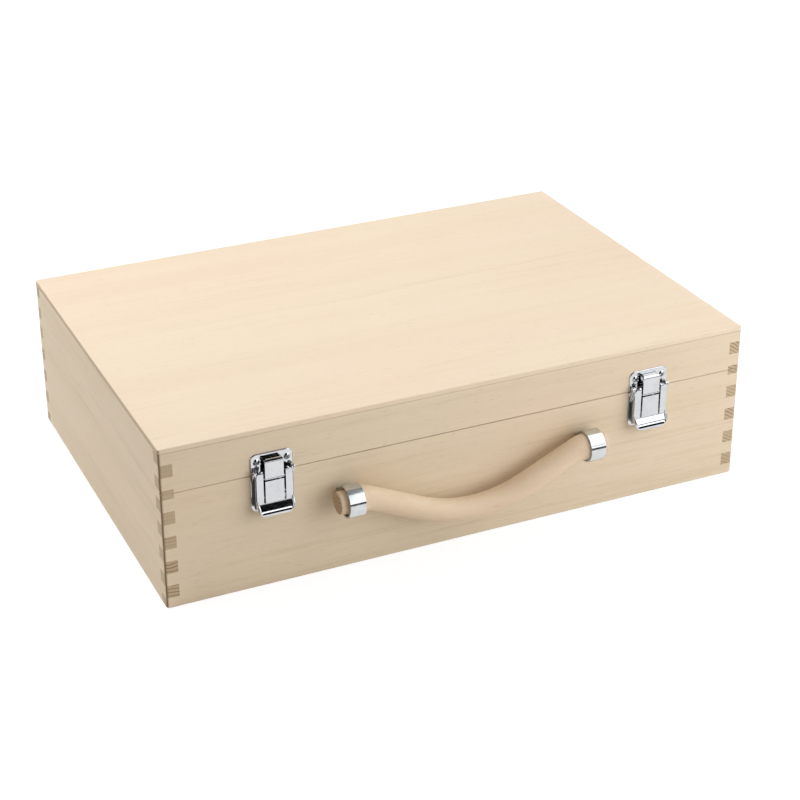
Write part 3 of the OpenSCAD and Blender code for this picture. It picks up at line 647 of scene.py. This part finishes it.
# Hooks. A bent plate curled round its pin at the foot, with a fine line where the curl
# closes; its shelf at the top reaches over the keeper and holds the lid down.
curl_line, groove_half, groove_depth, hook_front, hook_ease = 77.15, 0.18, 0.4, 4.7, 0.18
for side in ("left", "right"):
    node = f"latch_{side}_hook"
    shape = cad_shape(node)
    ease(shape, hook_ease)
    for height in (curl_line - groove_half, curl_line, curl_line + groove_half):
        everything = shape.verts[:] + shape.edges[:] + shape.faces[:]
        bmesh.ops.bisect_plane(shape, geom=everything, plane_co=(0, 0, height * mm),
                               plane_no=(0, 0, 1))
    for vert in shape.verts:
        on_line = abs(vert.co.z / mm - curl_line) < slack
        if on_line and vert.co.y / mm < front_face - hook_front:
            vert.co.y += groove_depth * mm
    place_piece(shape, node + "_finished", node, chrome, node)


# Stage. A white floor that keeps a faint shadow, a white studio, and around the case what
# only the metal mirrors: dark flags in front and overhead, and bright panels to the right.
def studio_sheet(name, corners, material):
    sheet = bpy.data.meshes.new(name)
    fields = [(k, k + 1, k + 3, k + 2) for k in range(0, len(corners) - 2, 2)]
    sheet.from_pydata(corners, [], fields)
    made = bpy.data.objects.new(name, sheet)
    bpy.context.scene.collection.objects.link(made)
    made.data.materials.append(material)
    return made


def level(x_range, y_range, z=mm):
    return [(x, y, z) for y in y_range for x in x_range]


def seen_only_by(tree, *kinds):
    """1 for the named kinds of ray, 0 for light that falls on the case."""
    rays = add(tree, "ShaderNodeLightPath").outputs
    share = rays[kinds[0]]
    for kind in kinds[1:]:
        share = maths(tree, "MAXIMUM", share, rays[kind])
    return share


floor_look = bpy.data.materials.new("white floor")
floor_look.use_nodes = True
tree = floor_look.node_tree
tree.nodes.clear()
matt = add(tree, "ShaderNodeBsdfDiffuse", {"Color": (0.78, 0.78, 0.77, 1)})
bright = add(tree, "ShaderNodeEmission", {"Color": (1, 1, 1, 1), "Strength": 0.84})
faint = add(tree, "ShaderNodeBsdfDiffuse", {"Color": (0.3, 0.3, 0.3, 1)})
lit = add(tree, "ShaderNodeAddShader", {0: bright.outputs[0], 1: faint.outputs[0]})
both = add(tree, "ShaderNodeMixShader", {0: seen_only_by(tree, "Is Camera Ray", "Is Glossy Ray"),
                                         1: matt.outputs[0], 2: lit.outputs[0]})
add(tree, "ShaderNodeOutputMaterial", {0: both.outputs[0]})
studio_sheet("floor", level((-8, 8), (-8, 8), -0.05 * mm), floor_look)


def card_look(name, colour, glow=(1, 1, 1), strength=0.0):
    """Matt cloth or card; one that glows also has a slight sheen."""
    made = bpy.data.materials.new(name)
    made.use_nodes = True
    shader = made.node_tree.nodes["Principled BSDF"]
    shader.inputs["Base Color"].default_value = (*colour, 1)
    shader.inputs["Emission Color"].default_value = (*glow, 1)
    shader.inputs["Emission Strength"].default_value = strength
    shader.inputs["Specular IOR Level"].default_value = 0.5 if strength else 0.0
    return made


flag_look = card_look("black flag cloth", (0.012, 0.012, 0.014))
grey_look = card_look("dim ceiling", (0.1, 0.1, 0.1), (0.95, 0.98, 1), 0.2)
dark_look = card_look("dark grey cloth", (0.03, 0.03, 0.03), (0.93, 0.97, 1), 0.07)
panel_look = card_look("bright panel", (0.8, 0.8, 0.8), (0.97, 0.99, 1), 1.5)
brown_look = card_look("brown card", (0.12, 0.07, 0.03))


def heading(azimuth, elevation):
    """Way out from the case; azimuth 0 is straight in front, 90 to the right, in degrees."""
    around, up = math.radians(azimuth), math.radians(elevation)
    return Vector((math.sin(around) * math.cos(up), -math.cos(around) * math.cos(up),
                   math.sin(up)))


left_latch = Vector((-0.13, -0.14, 0.06))


def round_latch(distance, corners):
    """Points at a distance round the left latch, each given by azimuth and elevation."""
    return [left_latch + distance * heading(*corner) for corner in corners]


def slanting(left_edge, right):
    """Corners of a panel whose left edge goes through the given directions."""
    return [corner for left, up in left_edge for corner in ((left, up), (right, up))]


ceiling = 1.35
high_panel_edge = ((19.3, 13), (22.3, 30), (25.9, 40), (31.4, 50), (36.8, 56), (55.5, 62))
high_card_edge = ((48.5, 37), (52.6, 41), (56, 44), (64, 48))
for name, corners, look in (
        ("floor flag", level((-1.5, 4), (-0.46, -3)), flag_look),
        ("left floor flag", level((-1.5, -0.16), (-0.13, -0.459)), dark_look),
        ("middle floor flag", level((-0.02, 0.06), (-0.18, -0.26)), dark_look),
        ("low flag", round_latch(3.2, [(a, e) for a in (-40, -10, 20, 50, 80)
                                       for e in (-1.5, 34)]), flag_look),
        ("low bright panel", round_latch(1.5, [(a, e) for a in (4, 25, 50, 75, 100)
                                               for e in (4, 13)]), panel_look),
        ("high bright panel", round_latch(1.5, slanting(high_panel_edge, 110)), panel_look),
        ("high card", round_latch(1.4, slanting(high_card_edge, 80)), flag_look),
        ("front canopy", level((-3, 3), (-2.6, -0.35), ceiling), flag_look),
        ("top canopy", level((-3, 3), (-0.35, 0.9), ceiling), grey_look)):
    sheet = studio_sheet(name, corners, look)
    sheet.visible_camera = sheet.visible_diffuse = sheet.visible_shadow = False

world = bpy.data.worlds.new("white studio")
bpy.context.scene.world = world
world.use_nodes = True
tree = world.node_tree
tree.nodes.clear()
shown = seen_only_by(tree, "Is Camera Ray", "Is Glossy Ray", "Is Transmission Ray")
tone = mixed(tree, shown, (0.194, 0.184, 0.170, 1), (1, 1, 1, 1))
background = add(tree, "ShaderNodeBackground", {"Color": tone, "Strength": 1.0})
add(tree, "ShaderNodeOutputWorld", {0: background.outputs[0]})


# Lamps. Two soft keys to the right light the front, two from behind light the top and the
# left side. A weak warm lamp and a dark brown card off the near corner make the light fall
# off towards it; the card shows neither to the camera nor in the metal.
def softbox(name, azimuth, elevation, distance, size, watts, tint=(1, 1, 1)):
    """Area lamp at a distance from the case's middle and aimed at it."""
    lamp = bpy.data.lights.new(name, "AREA")
    lamp.shape = "RECTANGLE"
    lamp.size, lamp.size_y = size
    lamp.energy = watts
    lamp.color = tint
    made = bpy.data.objects.new(name, lamp)
    bpy.context.scene.collection.objects.link(made)
    made.visible_glossy = False
    away = distance * heading(azimuth, elevation)
    made.location = case_middle + away
    made.rotation_euler = (-away).to_track_quat("-Z", "Y").to_euler()


case_middle = Vector((0, 0, 0.05))
softbox("low key", 42, 12, 1.1, (1.2, 0.6), 5.6)
softbox("high key", 48, 45, 1.3, (1.1, 0.8), 4.0)
softbox("left back light", 235, 55, 1.7, (1.2, 1.2), 18)
softbox("back light", 190, 46, 1.7, (1.2, 1.2), 8.0)
softbox("warm bounce", -38, 6, 0.75, (0.5, 0.3), 0.3, (1.0, 0.6, 0.3))
card_ends, card_foot, card_top = ((-0.66, -0.22), (-0.26, -0.57)), 0.05, 0.55
card = studio_sheet("corner card", [(x, y, z) for z in (card_foot, card_top) for x, y in card_ends],
                    brown_look)
card.visible_camera = card.visible_glossy = False

# Camera. Its place, turn and lens were solved from the case's seven visible corners, for
# an image of 800 by 800 pixels whose middle is a little off the lens's axis.
image_side, focal_px, axis_px = 800, 1905.6, (339.4, 321.1)
camera_at = (-0.4759, -1.0668, 0.6410)
camera_turn = ((0.919057, 0.17943, -0.350911), (-0.393831, 0.383786, -0.835228),
               (-0.01519, 0.905822, 0.423386))
lens = bpy.data.cameras.new("camera")
camera = bpy.data.objects.new("camera", lens)
bpy.context.scene.collection.objects.link(camera)
lens.sensor_width = 36
lens.lens = focal_px / image_side * lens.sensor_width
lens.shift_x = (image_side / 2 - axis_px[0]) / image_side
lens.shift_y = (axis_px[1] - image_side / 2) / image_side
lens.clip_start = 0.05
camera.matrix_world = Matrix.Translation(camera_at) @ Matrix(camera_turn).to_4x4()
bpy.context.scene.camera = camera
bpy.context.scene.view_settings.view_transform = "Standard"
